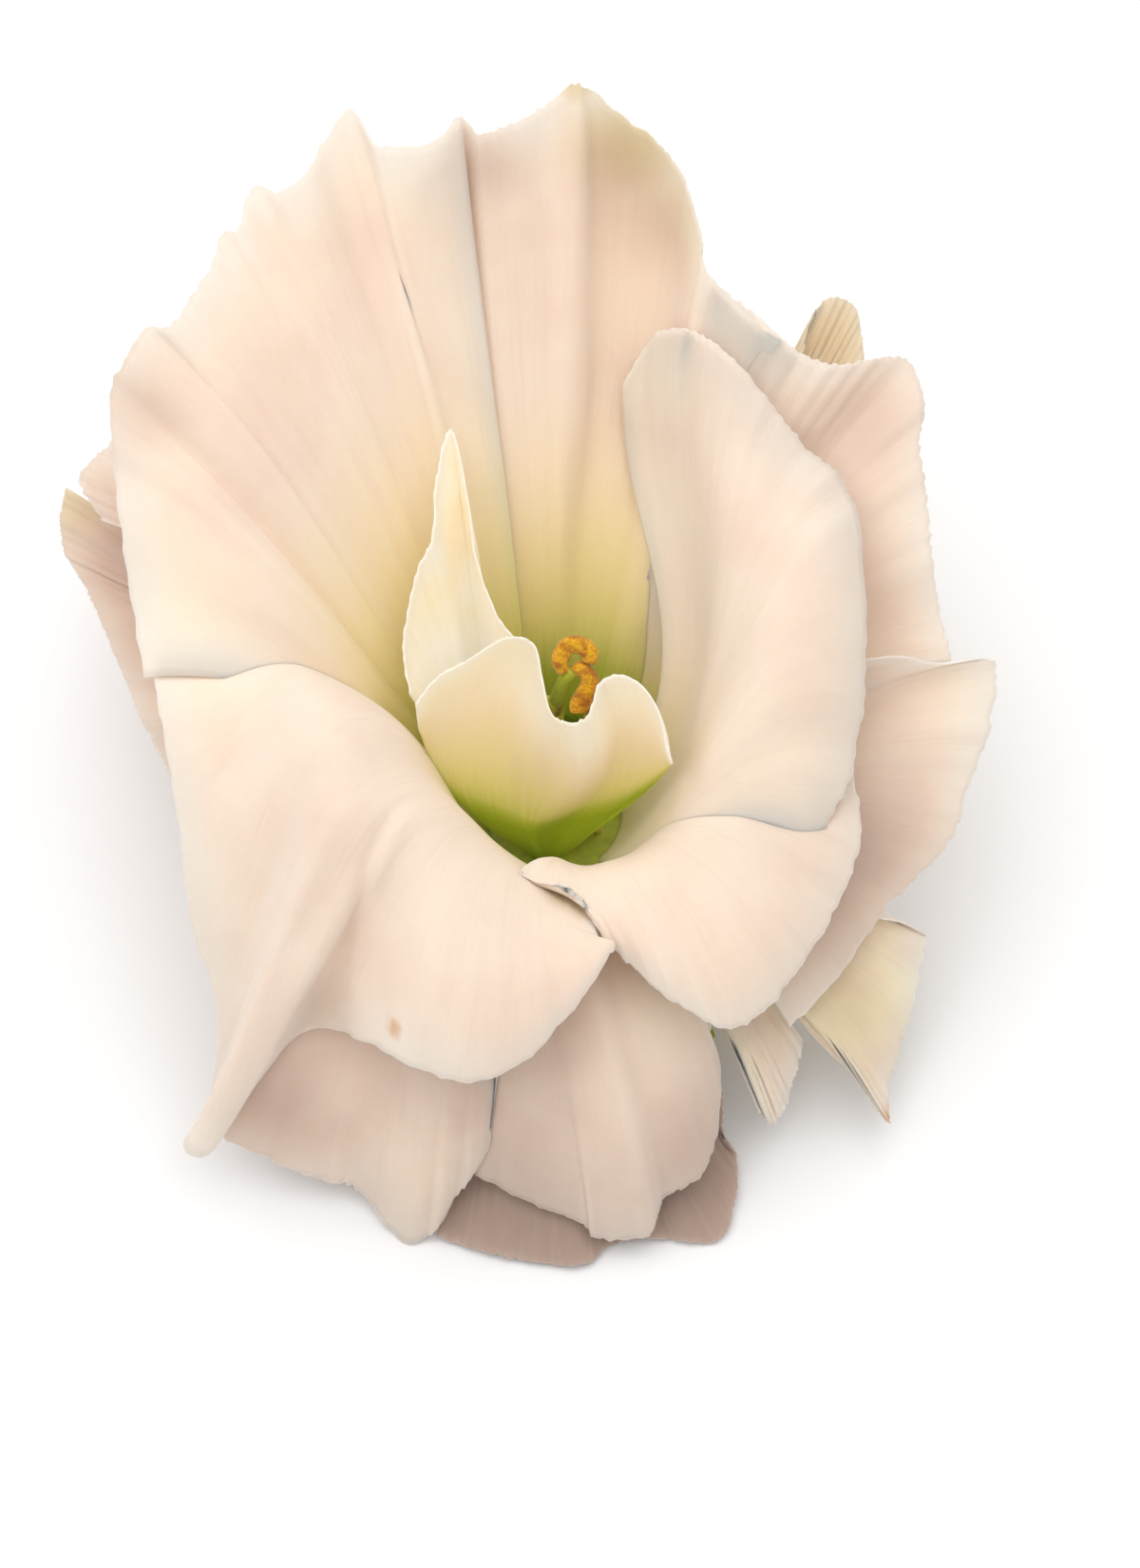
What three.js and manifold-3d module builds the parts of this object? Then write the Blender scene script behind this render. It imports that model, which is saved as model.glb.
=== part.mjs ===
// A double lisianthus bloom, picked with a short stub of stem and laid on a table, in millimetres.
// It is built about its own axis (+Z up, the viewer at -Y), then set with the middle of its box
// over the origin.
import * as THREE from "three";
import { mergeVertices } from "three/addons/utils/BufferGeometryUtils.js";
import Module from "manifold-3d";

// ---- driving dimensions ----
const BLADE = 0.6; // thickness of every petal
const SEAT_GAP = 0.3; // clearance that a piece keeps to what carries it
const CLAW_HEIGHT = 6.5; // height at which the petals leave the receptacle
const INNER_CLAW = 3.3; // reach of the innermost claws from the flower's axis
const LAYER_STEP = 0.32; // each further layer's claws stand this much further out
const RUFFLE_START = 0.45; // share of a petal's length at which its waves begin

const CUP_TOP = CLAW_HEIGHT - BLADE / 2 - SEAT_GAP;
const CUP_REACH = 10;
const CUP_EDGE = 0.5; // height of the cup's upright edge
const CUP_BOTTOM = 3.4;
const CUP_FOOT = 2.6; // radius of the cup where the stem meets it
const STEM_RADIUS = 1.7;
const STEM_FLARE = 0.6; // how much the stem widens under the cup
const STEM_CUT = 0.8; // height of the cut end of the stem stub

const OVARY_RADIUS = 2.1;
const OVARY_TOP = 14.5;
const STYLE_RADIUS = 0.55;
const STYLE_TOP = 21;

const SEPALS = 5;
const SEPAL_TURN = 18; // azimuth of the first sepal, degrees
const SEPAL_PATH = [[5, 4.6], [10, 3.4], [14, 1.6], [19, 0.9]]; // [reach, height] of its curve
const SEPAL_WIDTH = 2.6;
const SEPAL_KEEL = 0.45; // how far its margins stand above its midrib

const STIGMA_RADIUS = 0.6;

const STAMEN_REACH = 3.1; // reach of the filaments' feet from the flower's axis
const FILAMENT_RADIUS = 0.3;
const ANTHER_LENGTH = 3.2;
const ANTHER_RADIUS = 0.6;

// ---- petals ----
// layer: how far out its claw stands. azimuth, spread: middle and half width of the claw, degrees.
// fan: how much faster the ribs spread than the claw. rise: slope at the claw, degrees.
// belly, flare: how long each rib keeps its first and last direction, as shares of its span.
// Lists under rise, belly and flare run from the clockwise margin to the other one.
// rim: [x, y, z, slope in degrees] of the rim, in the same order. split: cells along and across.
const PETALS = {
  petal_back: {
    layer: 13, azimuth: 82, spread: 26, fan: 1.4, rise: [66], belly: [0.42], flare: [0.35],
    ruffle: 0.3, waves: 3.2, phase: 0.1, split: [7, 16],
    rim: [
      [12.5, 21.5, 33, 30], [9.5, 26, 35, 35], [8.5, 30, 36, 30], [7, 32.5, 37, 20],
      [4.5, 34.5, 38, 10], [1.5, 35.5, 39, 45], [-1.5, 34, 38, 60], [-5, 33, 37, 60],
      [-9, 30.5, 35, 60],
    ],
  },
  petal_back_left: {
    layer: 9, azimuth: 140, spread: 32, fan: 1.35, rise: [64], belly: [0.45], flare: [0.35],
    ruffle: 0.2, waves: 4, phase: 0.3, split: [8, 24],
    rim: [
      [-6.5, 32.5, 38.5, 60], [-9, 31.5, 38, 50], [-11.5, 31.5, 37.5, 40], [-13.5, 34, 37.5, 30],
      [-16.5, 29.5, 37, 45], [-19.5, 29, 36, 30], [-21.5, 25.5, 36, 35], [-24, 20.5, 34, 30],
      [-26.5, 20, 33, 15], [-28.5, 16.5, 32, 30], [-28.5, 11.5, 30, 10], [-27, 6, 27.5, 0],
      [-26, -0.5, 23.5, -10],
    ],
  },
  petal_left: {
    layer: 4, azimuth: 225, spread: 58, fan: 1.1, rise: [60, 60, 57, 54, 52],
    belly: [0.6, 0.75, 0.95, 0.95, 0.85], flare: [0.4, 0.45, 0.5, 0.5, 0.5],
    ruffle: 0.1, waves: 3, phase: 0, split: [9, 32],
    rim: [
      [-26, 2, 27.5, 0], [-25, -4, 25, -10], [-23.5, -8.5, 21, -25], [-23.5, -15, 15, -40],
      [-21.5, -18.5, 10, -45], [-23, -24, 5, -50], [-17, -20, 13, -60], [-12, -14.5, 20, -55],
      [-10.5, -21, 17, -55], [-8.5, -24, 15.5, -50], [-5, -24.5, 15.5, -50], [-1.5, -23, 16, -50],
      [1, -20, 17, -50], [3, -18, 18.5, -45], [3, -16, 20.5, -40],
    ],
  },
  petal_front_right: {
    layer: 7, azimuth: 307, spread: 24, fan: 1.2, rise: [41, 50, 54],
    belly: [0.6, 0.85, 0.8], flare: [0.3, 0.5, 0.5],
    ruffle: 0.1, waves: 2, phase: 0.2, split: [8, 16],
    rim: [
      [2, -13.5, 17.5, -20], [5, -17, 16.5, -40], [7.5, -19, 15, -45], [11, -20, 14, -45],
      [15, -18.5, 15, -40], [17.5, -14, 16.5, -30], [19.5, -9.5, 19, -25], [20, -4.5, 21, -20],
    ],
  },
  petal_right: {
    layer: 3, azimuth: 345, spread: 36, fan: 1.1, rise: [54, 60, 62],
    belly: [0.8, 0.55, 0.6], flare: [0.4],
    ruffle: 0.1, waves: 2.4, phase: 0.4, split: [8, 18],
    rim: [
      [16.5, -9, 23, -20], [19, -5.5, 26, -5], [19.5, 1, 28, 0], [19, 6.5, 30.5, 10],
      [17, 12.5, 32, 25], [13, 16, 33.5, 40], [8, 17, 33.5, 50], [4.5, 15.5, 31.5, 60],
    ],
  },
  outer_petal_back_right: {
    layer: 16, azimuth: 38, spread: 24, fan: 1.2, rise: [58], belly: [0.4], flare: [0.4],
    ruffle: 0.3, waves: 2.6, phase: 0.6, split: [7, 16],
    rim: [
      [26, 4, 19, 0], [24.5, 8, 21.5, 0], [24, 13, 24, 0], [24, 19, 26, 0],
      [23, 22, 26.5, 15], [19.5, 22, 27.5, 20], [15.5, 22, 29, 30], [10, 25, 31.5, 40],
    ],
  },
  outer_petal_right: {
    layer: 12, azimuth: 342, spread: 26, fan: 1.2, rise: [56], belly: [0.5], flare: [0.4],
    ruffle: 0.3, waves: 3, phase: 0.1, split: [7, 16],
    rim: [
      [15.5, -16.5, 9, -40], [18, -14.5, 10, -35], [21, -10.5, 11.5, -30], [25.5, -6, 14, -25],
      [27.5, -2, 16.5, -20], [28.5, 2.5, 18.5, -10], [28, 4, 20, -5], [20.5, 2, 23.5, 10],
    ],
  },
  outer_petal_pointed: {
    layer: 16, azimuth: 322, spread: 10, fan: 1.2, rise: [40], belly: [0.4], flare: [0.4],
    ruffle: 0.1, waves: 1.5, phase: 0.1, split: [6, 8],
    rim: [
      [17, -16.5, 6, -40], [19.5, -18.5, 4.2, -45], [21.5, -20.3, 2.4, -50], [22.6, -19, 3, -50],
      [22.8, -15.5, 4.6, -40], [24, -10, 8, -20],
    ],
  },
  outer_petal_narrow: {
    layer: 16, azimuth: 302, spread: 7, fan: 1, rise: [35], belly: [0.4], flare: [0.4],
    ruffle: 0, waves: 1, phase: 0.1, split: [6, 4],
    rim: [[12.8, -19.5, 4.4, -40], [13.6, -21.2, 3.8, -45], [14.6, -21.4, 3.7, -45], [15.6, -19, 4.4, -40]],
  },
  outer_petal_front: {
    layer: 12, azimuth: 276, spread: 22, fan: 1.2, rise: [56], belly: [0.65], flare: [0.45],
    ruffle: 0.3, waves: 2.5, phase: 0.7, split: [8, 14],
    rim: [
      [-5, -24.5, 3.2, -55], [-1.5, -26.5, 2.4, -60], [2, -28.5, 1.8, -60], [6, -29, 1.8, -60],
      [9, -24.5, 3.6, -55], [10.5, -20, 6.5, -50], [10, -17, 9, -50],
    ],
  },
  outer_petal_underneath: {
    layer: 16, azimuth: 272, spread: 18, fan: 1.2, rise: [10], belly: [0.45], flare: [0.4],
    ruffle: 0.1, waves: 2.5, phase: 0.7, split: [6, 14],
    rim: [
      [-6, -28, 0.1, -12], [-2.5, -29.5, 0, -15], [1, -30, 0, -20], [6, -28.5, 0, -15],
      [10.5, -28, -0.1, -12], [12, -23.5, 0.8, -10], [11, -18.5, 2.2, -10],
    ],
  },
  outer_petal_front_left: {
    layer: 9, azimuth: 236, spread: 24, fan: 1.2, rise: [58], belly: [0.75, 0.75, 0.65], flare: [0.45],
    ruffle: 0.3, waves: 4, phase: 0.2, split: [8, 18],
    rim: [
      [-22.5, -21.5, 5, -50], [-21, -22.5, 4, -50], [-17.5, -24, 2.5, -50], [-13, -25.5, 1.5, -50],
      [-9.5, -28, -0.3, -55], [-6.5, -27, 3.2, -55], [-4.5, -24.5, 6.5, -55], [-4, -22, 8.5, -50],
    ],
  },
  outer_petal_left: {
    layer: 13, azimuth: 170, spread: 18, fan: 1.2, rise: [45], belly: [0.4], flare: [0.4],
    ruffle: 0.2, waves: 2, phase: 0.2, split: [6, 10],
    rim: [
      [-32.5, 18.5, 17, 10], [-33, 16.5, 15, 0], [-31, 11.5, 13.5, -5], [-28, 6, 11.5, -10],
      [-25, 0.5, 9, -15],
    ],
  },
  outer_petal_back_left: {
    layer: 14, azimuth: 130, spread: 17, fan: 1, rise: [58, 50], belly: [0.45, 0.4], flare: [0.4],
    ruffle: 0.3, waves: 2, phase: 0.2, split: [7, 12],
    rim: [
      [-11, 32, 15, 0], [-20, 31, 15.5, 0], [-27, 24.5, 18, 0], [-31, 17, 21, 10], [-29, 13.5, 20, 0],
    ],
  },
  outer_petal_back: {
    layer: 17, azimuth: 84, spread: 18, fan: 1, rise: [40], belly: [0.4], flare: [0.45],
    ruffle: 0.4, waves: 2, phase: 0.2, split: [7, 14],
    rim: [
      [16, 22, 9, -20], [14, 27, 4.5, -35], [6, 31.5, 0.2, -50], [0, 33, -0.3, -55], [-6, 32, 0, -50],
      [-13, 27, 4, -30], [-15, 22, 7.5, -20],
    ],
  },
  outer_petal_top_right: {
    layer: 20, azimuth: 54, spread: 8, fan: 1.2, rise: [50], belly: [0.4], flare: [0.4],
    ruffle: 0, waves: 2, phase: 0.2, split: [6, 6],
    rim: [[20.5, 24.5, 21, 20], [20, 28, 23, 30], [18, 29, 24, 35], [16.5, 25.5, 23, 30]],
  },
  inner_petal_tall: {
    layer: 0, azimuth: 150, spread: 34, fan: 1.2, rise: [80], belly: [0.4], flare: [0.3],
    ruffle: 0.1, waves: 1, phase: 0.1, split: [7, 10],
    rim: [
      [-1, 2, 23, 80], [-5, 6, 30, 80], [-6, 10.5, 36, 85], [-8, 6.5, 30, 80], [-9.5, 3, 24, 80],
      [-9, 0.5, 21, 80],
    ],
  },
  inner_petal_front: {
    layer: 0, azimuth: 266, spread: 44, fan: 1.2, rise: [66], belly: [0.55], flare: [0.35],
    ruffle: 0, waves: 2, phase: 0.1, split: [7, 18], claw: 9,
    rim: [
      [-9, -1, 23, 80], [-6.5, 0, 25, 100], [-2.5, 1, 26, 110], [-0.5, -2.5, 24, 90],
      [1, -3, 24, 90], [3.5, -1, 25.5, 100], [6.5, -2.5, 24.5, 100], [7.5, -5, 21.5, 80],
    ],
  },
};

const PETAL_CREAM = 0xf1e4d3;
const PETAL_BLUSH = 0xe8d6c6;
const PETAL_GREENISH = 0xdcd6ae;
const STEM_GREEN = 0x8fa557;
const OVARY_GREEN = 0x7f9a2c;
const POLLEN = 0xdb9c28;
const FILAMENT_GREEN = 0xc9cf86;

const wasm = await Module();
wasm.setup();

const rad = THREE.MathUtils.degToRad;
const clamp = THREE.MathUtils.clamp;

function finish(color, roughness = 0.6) {
  return new THREE.MeshStandardMaterial({ color, roughness, metalness: 0, side: THREE.DoubleSide });
}

// ---- curves ----
// Value at place v (-1 to 1) of a list of rows spread evenly over that range, as one smooth curve.
function smoothAcross(rows, v) {
  const last = rows.length - 1;
  const s = ((v + 1) / 2) * last;
  const k = clamp(Math.floor(s), 0, last - 1);
  const f = s - k;
  const ghost = (a, b) => a.map((x, i) => 2 * x - b[i]);
  const b = rows[k];
  const c = rows[k + 1];
  const a = k > 0 ? rows[k - 1] : ghost(b, c);
  const d = k + 2 <= last ? rows[k + 2] : ghost(c, b);
  return b.map(
    (x, i) =>
      0.5 *
      (2 * x +
        (c[i] - a[i]) * f +
        (2 * a[i] - 5 * x + 4 * c[i] - d[i]) * f * f +
        (3 * x - a[i] - 3 * c[i] + d[i]) * f * f * f),
  );
}

// Value at place v of a list of numbers spread evenly from -1 to 1, joined by straight lines.
function linearAcross(values, v) {
  if (values.length === 1) return values[0];
  const s = ((v + 1) / 2) * (values.length - 1);
  const k = clamp(Math.floor(s), 0, values.length - 2);
  return values[k] + (values[k + 1] - values[k]) * (s - k);
}

const heading = (azimuth, slope) =>
  new THREE.Vector3(
    Math.cos(azimuth) * Math.cos(slope),
    Math.sin(azimuth) * Math.cos(slope),
    Math.sin(slope),
  );

// One rib of a petal, from its claw to the rim.
function ribCurve(petal, v) {
  const [x, y, z, slope] = smoothAcross(petal.rim, v);
  const azimuth = rad(petal.azimuth + v * petal.spread);
  const fanned = rad(petal.azimuth + v * petal.spread * petal.fan);
  const reach = INNER_CLAW + LAYER_STEP * petal.layer;
  const claw = heading(azimuth, 0).multiplyScalar(reach).setZ(petal.claw ?? CLAW_HEIGHT);
  const rim = new THREE.Vector3(x, y, z);
  const span = claw.distanceTo(rim);
  const outward = Math.atan2(y - claw.y, x - claw.x);
  const first = heading(fanned, rad(linearAcross(petal.rise, v)));
  const last = heading(outward, rad(slope));
  return new THREE.CubicBezierCurve3(
    claw,
    claw.clone().addScaledVector(first, span * linearAcross(petal.belly, v)),
    rim.clone().addScaledVector(last, -span * linearAcross(petal.flare, v)),
    rim,
  );
}

// ---- solids ----
// Unit normals of a grid of points, from the differences of their neighbours.
function gridNormals(grid) {
  const rows = grid.length;
  const cols = grid[0].length;
  const at = (i, j) => grid[clamp(i, 0, rows - 1)][clamp(j, 0, cols - 1)];
  return grid.map((row, i) =>
    row.map((_, j) => {
      const along = at(i + 1, j).clone().sub(at(i - 1, j));
      const across = at(i, j + 1).clone().sub(at(i, j - 1));
      return along.cross(across).normalize();
    }),
  );
}

// Closed blade of the given thickness round a grid of points, split alike on both faces.
function bladeGeometry(grid, thickness) {
  const rows = grid.length;
  const cols = grid[0].length;
  const normals = gridNormals(grid);
  const positions = [];
  for (const side of [0.5, -0.5])
    grid.forEach((row, i) =>
      row.forEach((p, j) => {
        positions.push(...p.clone().addScaledVector(normals[i][j], side * thickness).toArray());
      }),
    );
  const under = rows * cols;
  const at = (i, j) => i * cols + j;
  const faces = [];
  for (let i = 0; i < rows - 1; i++)
    for (let j = 0; j < cols - 1; j++) {
      const [a, b, c, d] = [at(i, j), at(i + 1, j), at(i + 1, j + 1), at(i, j + 1)];
      faces.push(a, b, c, a, c, d);
      faces.push(under + c, under + b, under + a, under + d, under + c, under + a);
    }
  const edge = [];
  for (let j = 0; j < cols; j++) edge.push(at(0, j));
  for (let i = 1; i < rows; i++) edge.push(at(i, cols - 1));
  for (let j = cols - 2; j >= 0; j--) edge.push(at(rows - 1, j));
  for (let i = rows - 2; i > 0; i--) edge.push(at(i, 0));
  edge.forEach((a, k) => {
    const b = edge[(k + 1) % edge.length];
    faces.push(a, b, under + b, a, under + b, under + a);
  });
  const geometry = new THREE.BufferGeometry();
  geometry.setAttribute("position", new THREE.Float32BufferAttribute(positions, 3));
  geometry.setIndex(faces);
  return geometry;
}

function petalGeometry(petal) {
  const [along, across] = petal.split;
  const places = Array.from({ length: across + 1 }, (_, j) => (2 * j) / across - 1);
  const ribs = places.map((v) => ribCurve(petal, v));
  const grid = Array.from({ length: along + 1 }, (_, i) => ribs.map((rib) => rib.getPoint(i / along)));
  const normals = gridNormals(grid);
  const turn = 2 * Math.PI;
  const waved = grid.map((row, i) => {
    const share = clamp((i / along - RUFFLE_START) / (1 - RUFFLE_START), 0, 1) ** 2;
    return row.map((p, j) => {
      const v = (places[j] + 1) / 2;
      const wave =
        Math.sin(turn * (petal.waves * v + petal.phase)) +
        0.35 * Math.sin(turn * (2.3 * petal.waves * v + 2 * petal.phase));
      return p.clone().addScaledVector(normals[i][j], petal.ruffle * share * wave);
    });
  });
  return bladeGeometry(waved, BLADE);
}

// Solid of revolution about the flower's axis. The profile starts and ends on the axis.
function turned(profile, segments) {
  const points = profile.map(([r, z]) => new THREE.Vector2(r, z));
  return new THREE.LatheGeometry(points, segments).rotateX(Math.PI / 2);
}

function toSolid(geometry) {
  const bare = geometry.clone();
  bare.deleteAttribute("normal");
  bare.deleteAttribute("uv");
  const merged = mergeVertices(bare, 1e-4);
  return new wasm.Manifold(
    new wasm.Mesh({
      numProp: 3,
      vertProperties: merged.attributes.position.array,
      triVerts: new Uint32Array(merged.index.array),
    }),
  );
}

// Overlapping solids as one geometry.
function joined(geometries) {
  const mesh = geometries.map(toSolid).reduce((whole, part) => whole.add(part)).getMesh();
  const geometry = new THREE.BufferGeometry();
  geometry.setAttribute("position", new THREE.Float32BufferAttribute(mesh.vertProperties, 3));
  geometry.setIndex([...mesh.triVerts]);
  return geometry;
}

// Round rod of the given radius along a curve, with flat ends.
function rod(curve, radius, steps, sides) {
  const section = new THREE.Shape();
  for (let k = 0; k < sides; k++) {
    const a = (2 * Math.PI * k) / sides;
    const [x, y] = [radius * Math.cos(a), radius * Math.sin(a)];
    if (k) section.lineTo(x, y);
    else section.moveTo(x, y);
  }
  section.closePath();
  return new THREE.ExtrudeGeometry(section, { steps, extrudePath: curve, bevelEnabled: false });
}

// ---- what carries the petals ----
// One narrow keeled sepal, from inside the cup out under the petals.
function sepalGeometry(azimuth) {
  const path = new THREE.CubicBezierCurve3(
    ...SEPAL_PATH.map(([reach, z]) => heading(azimuth, 0).multiplyScalar(reach).setZ(z)),
  );
  const side = heading(azimuth + Math.PI / 2, 0);
  const along = 6;
  const grid = Array.from({ length: along + 1 }, (_, i) => {
    const t = i / along;
    const half = (SEPAL_WIDTH / 2) * (0.25 + 0.75 * Math.sqrt(1 - t ** 3)) * (1 - 0.55 * t);
    const spine = path.getPoint(t);
    return [-1, -0.5, 0, 0.5, 1].map((s) =>
      spine.clone().addScaledVector(side, s * half).add(new THREE.Vector3(0, 0, SEPAL_KEEL * Math.abs(s))),
    );
  });
  return bladeGeometry(grid, BLADE);
}

function calyxGeometry() {
  const cup = turned(
    [
      [0, CUP_BOTTOM],
      [CUP_FOOT, CUP_BOTTOM],
      [CUP_FOOT + 2, CUP_BOTTOM + CUP_EDGE],
      [CUP_REACH - 1.6, CUP_TOP - 2.2 * CUP_EDGE],
      [CUP_REACH, CUP_TOP - CUP_EDGE],
      [CUP_REACH, CUP_TOP],
      [0, CUP_TOP],
    ],
    32,
  );
  const sepals = Array.from({ length: SEPALS }, (_, k) =>
    sepalGeometry(rad(SEPAL_TURN + (360 * k) / SEPALS)),
  );
  return joined([cup, ...sepals]);
}

function stemGeometry() {
  const top = CUP_BOTTOM - SEAT_GAP;
  return turned(
    [
      [0, STEM_CUT],
      [STEM_RADIUS * 0.9, STEM_CUT],
      [STEM_RADIUS, top - STEM_FLARE],
      [STEM_RADIUS + STEM_FLARE, top],
      [0, top],
    ],
    20,
  );
}

// ---- what the bloom holds ----
function ovaryGeometry() {
  const bottom = CUP_TOP + SEAT_GAP;
  const tall = OVARY_TOP - bottom;
  const profile = [[0, bottom]];
  const steps = 10;
  for (let k = 0; k <= steps; k++) {
    const t = k / steps;
    const radius = OVARY_RADIUS * Math.sin(Math.PI * (0.2 + 0.72 * t));
    profile.push([Math.max(radius, STYLE_RADIUS), bottom + tall * t]);
  }
  profile.push([STYLE_RADIUS, STYLE_TOP], [0, STYLE_TOP]);
  return turned(profile, 16);
}

// Two curled lobes that stand on the style.
function stigmaGeometry() {
  const foot = STYLE_TOP + 2 * SEAT_GAP;
  const lobe = (points) =>
    rod(new THREE.CatmullRomCurve3(points.map((p) => new THREE.Vector3(...p))), STIGMA_RADIUS, 8, 8);
  return joined([
    lobe([[0.2, 0, foot], [0.9, -0.4, foot + 1.2], [1.5, -0.6, foot + 2.3], [1.3, -0.5, foot + 3.4]]),
    lobe([[0.3, 0.2, foot], [0.1, 1, foot + 1.3], [0.4, 1.9, foot + 2.8], [1.5, 2.1, foot + 3.9]]),
  ]);
}

// A stamen: a thin filament from beside the ovary with a plump anther on it.
function stamenGeometry({ azimuth, height, lean }) {
  const a = rad(azimuth);
  const foot = heading(a, 0).multiplyScalar(STAMEN_REACH).setZ(CUP_TOP + SEAT_GAP);
  const top = heading(a, 0).multiplyScalar(STAMEN_REACH + lean).setZ(height);
  const middle = foot.clone().lerp(top, 0.5).setZ((foot.z + top.z) / 2 + 0.5);
  const filament = rod(new THREE.QuadraticBezierCurve3(foot, middle, top), FILAMENT_RADIUS, 5, 6);
  const anther = new THREE.SphereGeometry(ANTHER_RADIUS, 8, 6)
    .scale(1, 1, ANTHER_LENGTH / (2 * ANTHER_RADIUS))
    .rotateY(rad(12))
    .rotateZ(a)
    .translate(top.x, top.y, top.z + ANTHER_LENGTH * 0.35);
  return joined([filament, anther]);
}

const STAMENS = [
  { azimuth: 333, height: 14.5, lean: 1.2 },
  { azimuth: 12, height: 16, lean: 1.4 },
  { azimuth: 52, height: 17, lean: 1.6 },
  { azimuth: 94, height: 16.5, lean: 1.4 },
  { azimuth: 196, height: 14.5, lean: 0.7 },
];

// ---- the bloom ----
const bloom = new THREE.Group();

function add(name, geometry, material) {
  const mesh = new THREE.Mesh(geometry, material);
  mesh.name = name;
  bloom.add(mesh);
}

function petalColour(name) {
  if (name === "outer_petal_top_right" || name === "outer_petal_pointed") return PETAL_GREENISH;
  return name.startsWith("outer") ? PETAL_BLUSH : PETAL_CREAM;
}

for (const [name, petal] of Object.entries(PETALS))
  add(name, petalGeometry(petal), finish(petalColour(name)));
add("calyx", calyxGeometry(), finish(STEM_GREEN, 0.55));
add("stem_stub", stemGeometry(), finish(STEM_GREEN, 0.55));
add("ovary_and_style", ovaryGeometry(), finish(OVARY_GREEN, 0.45));
add("stigma", stigmaGeometry(), finish(POLLEN, 0.7));
STAMENS.forEach((stamen, k) =>
  add("stamen_" + (k + 1), stamenGeometry(stamen), finish(k ? FILAMENT_GREEN : POLLEN, 0.7)),
);

const box = new THREE.Box3().setFromObject(bloom);
const middle = box.getCenter(new THREE.Vector3());
bloom.position.set(-middle.x, -middle.y, -box.min.z);

export default bloom;
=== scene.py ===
"""A double lisianthus bloom in warm cream with a green throat, picked with a short stub of stem.

Lengths are in millimetres about the flower's own axis (+Z up, the viewer at -Y). A finished mesh
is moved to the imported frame, in metres.
"""
import math

import bpy
import numpy as np
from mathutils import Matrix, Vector


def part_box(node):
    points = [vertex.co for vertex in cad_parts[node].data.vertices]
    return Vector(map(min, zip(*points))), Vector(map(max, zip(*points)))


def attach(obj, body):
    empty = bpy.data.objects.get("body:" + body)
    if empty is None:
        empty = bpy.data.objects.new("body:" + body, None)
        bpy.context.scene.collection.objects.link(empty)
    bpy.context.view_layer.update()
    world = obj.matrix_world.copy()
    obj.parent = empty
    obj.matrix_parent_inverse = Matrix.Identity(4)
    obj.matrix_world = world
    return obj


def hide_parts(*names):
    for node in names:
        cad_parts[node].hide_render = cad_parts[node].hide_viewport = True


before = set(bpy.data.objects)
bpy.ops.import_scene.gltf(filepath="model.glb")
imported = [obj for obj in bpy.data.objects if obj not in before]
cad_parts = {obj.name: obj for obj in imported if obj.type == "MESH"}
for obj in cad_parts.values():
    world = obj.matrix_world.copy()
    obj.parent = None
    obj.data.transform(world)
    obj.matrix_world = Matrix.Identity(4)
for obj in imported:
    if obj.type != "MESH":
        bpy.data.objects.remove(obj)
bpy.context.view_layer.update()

MM = 0.001
STEM_CUT = 0.8  # height of the stem's cut end, in the flower's own frame
stub_low, stub_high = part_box("stem_stub")
AXIS_FOOT = np.array(
    [(stub_low.x + stub_high.x) / 2, (stub_low.y + stub_high.y) / 2, stub_low.z - STEM_CUT * MM]
)

# ---- driving dimensions ----
CUP_TOP = 5.9  # receptacle on which every claw and stamen stands
CLAW_FOOT = CUP_TOP - 0.1
INNER_CLAW = 3.3  # from the axis to the innermost claws
LAYER_STEP = 0.32  # and from the claws of one layer to those of the next
RUFFLE_START = 0.45  # share of the length at which the rim's waves start
FINE_WAVE = 0.35  # height of the finer waves between them, as a share of theirs
FINE_WAVES = 2.3  # and how many times as many there are
CRINKLE = 0.12  # height of the crinkles at a rim, where the petal gives none of its own
CRINKLE_COUNTS = range(5, 22)  # crinkles from one margin to the other
CRINKLE_START = 0.6
FRINGE = 0.08  # unevenness of the rims
FRINGE_PITCH = 2.7  # how much finer than the crinkles it is
FRINGE_START = 0.9
FOLD_FADE = 0.2  # share of the length over which a fold rises and dies away
OVER = 0.33  # how far a rib keeps its slope on either side of its crest, as a share of its length
TUCK_START = 0.6  # place across, from the middle to a margin, where a tucked margin starts
TUCK_LEFT = 0.2  # share of a tuck that is left at the rim
TUCK_FADE = 0.75  # share of the length at which it starts to fade

BLADE_MIDDLE = 0.34  # thickness of a petal in its middle
BLADE_RIM = 0.1  # and at its rim
THIN_RIM = 0.8  # share of the length at which it starts to thin
THIN_MARGIN = 0.86  # and place across, from the middle to a margin
ROWS, COLUMNS = 60, 150  # cells of a petal from claw to rim, and across it

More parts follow.
